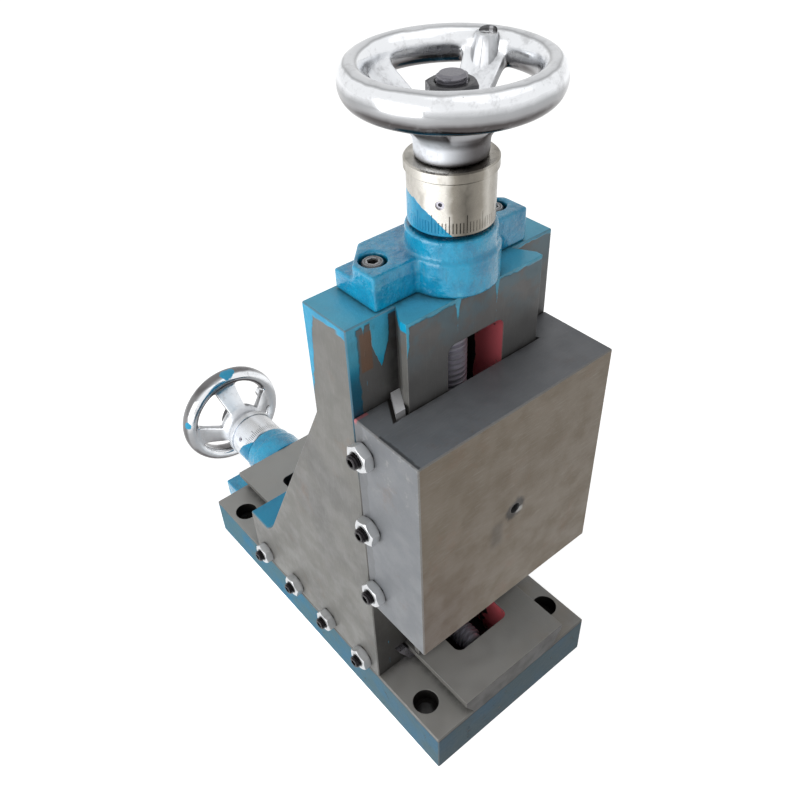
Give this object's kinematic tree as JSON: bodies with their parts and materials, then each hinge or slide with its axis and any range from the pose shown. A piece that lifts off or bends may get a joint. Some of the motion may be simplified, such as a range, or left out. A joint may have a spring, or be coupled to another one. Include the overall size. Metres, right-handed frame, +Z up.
{
  "type": "dovetail slide",
  "caption": "Dovetail slide: a knee that moves along a bed carries a vertical carriage, each driven by a lead screw with a dial and a handwheel.",
  "frame": {"origin": "centre of the base's bolt pattern, on the face that the base is bolted down by", "axes": "+Z is up, +Y runs along the base towards its handwheel, +X runs across it, and the carriage's mounting face looks along -Y"},
  "size_m": [0.171, 0.4413, 0.5171],
  "materials": {
    "machined_iron": "ground, oiled, with worn blue paint on the cast sides",
    "blue_paint": "gloss paint over cast iron",
    "polished_chrome": "polished plate",
    "bright_steel": "ground",
    "zinc_plate": "bright zinc plate",
    "black_steel": "black oxide",
    "bronze": "machined bronze"
  },
  "bodies": {
    "base": {"base_slide": "machined_iron", "base_bearing_bracket": "blue_paint", "base_bracket_screws": "black_steel", "base_bearing_bush": "bronze", "base_inner_thrust_washer": "bright_steel", "base_outer_thrust_washer": "bright_steel"},
    "knee": {"knee": "machined_iron", "base_gib": "bright_steel", "base_gib_screws": "zinc_plate", "base_gib_lock_nuts": "zinc_plate", "base_feed_nut": "bronze", "base_feed_nut_screws": "black_steel", "column_bearing_bracket": "blue_paint", "column_bracket_screws": "black_steel", "column_bearing_bush": "bronze", "column_inner_thrust_washer": "bright_steel", "column_outer_thrust_washer": "bright_steel"},
    "base_drive": {"base_lead_screw": "bright_steel", "base_dial": "polished_chrome", "base_dial_set_screw": "black_steel", "base_handwheel": "polished_chrome", "base_handwheel_key": "bright_steel", "base_handwheel_washer": "zinc_plate", "base_handwheel_nut": "black_steel"},
    "carriage": {"carriage": "machined_iron", "carriage_gib": "bright_steel", "carriage_gib_screws": "zinc_plate", "carriage_gib_lock_nuts": "zinc_plate", "column_feed_nut": "bronze", "column_feed_nut_screw": "black_steel"},
    "column_drive": {"column_lead_screw": "bright_steel", "column_dial": "polished_chrome", "column_dial_set_screw": "black_steel", "column_handwheel": "polished_chrome", "column_handwheel_key": "bright_steel", "column_handwheel_washer": "zinc_plate", "column_handwheel_nut": "black_steel"}
  },
  "joints": [
    {"name": "knee_slide", "type": "slide", "parent": "base", "child": "knee", "axis": [0, 1, 0], "range_m": [-0.07, 0.07]},
    {"name": "base_screw_turn", "type": "hinge", "parent": "base", "child": "base_drive", "pos_m": [0, 0.16, 0.0337], "axis": [0, 1, 0], "range_deg": [-6400, 6400]},
    {"name": "carriage_slide", "type": "slide", "parent": "knee", "child": "carriage", "axis": [0, 0, 1], "range_m": [-0.07, 0.055]},
    {"name": "column_screw_turn", "type": "hinge", "parent": "knee", "child": "column_drive", "pos_m": [0, -0.0855, 0.373], "axis": [0, 0, 1], "range_deg": [-5050, 6400]}
  ],
  "couplings": [
    {"joint": "base_screw_turn", "follows": "knee_slide", "rad_per_m": -1570.8},
    {"joint": "column_screw_turn", "follows": "carriage_slide", "rad_per_m": -1570.8}
  ]
}
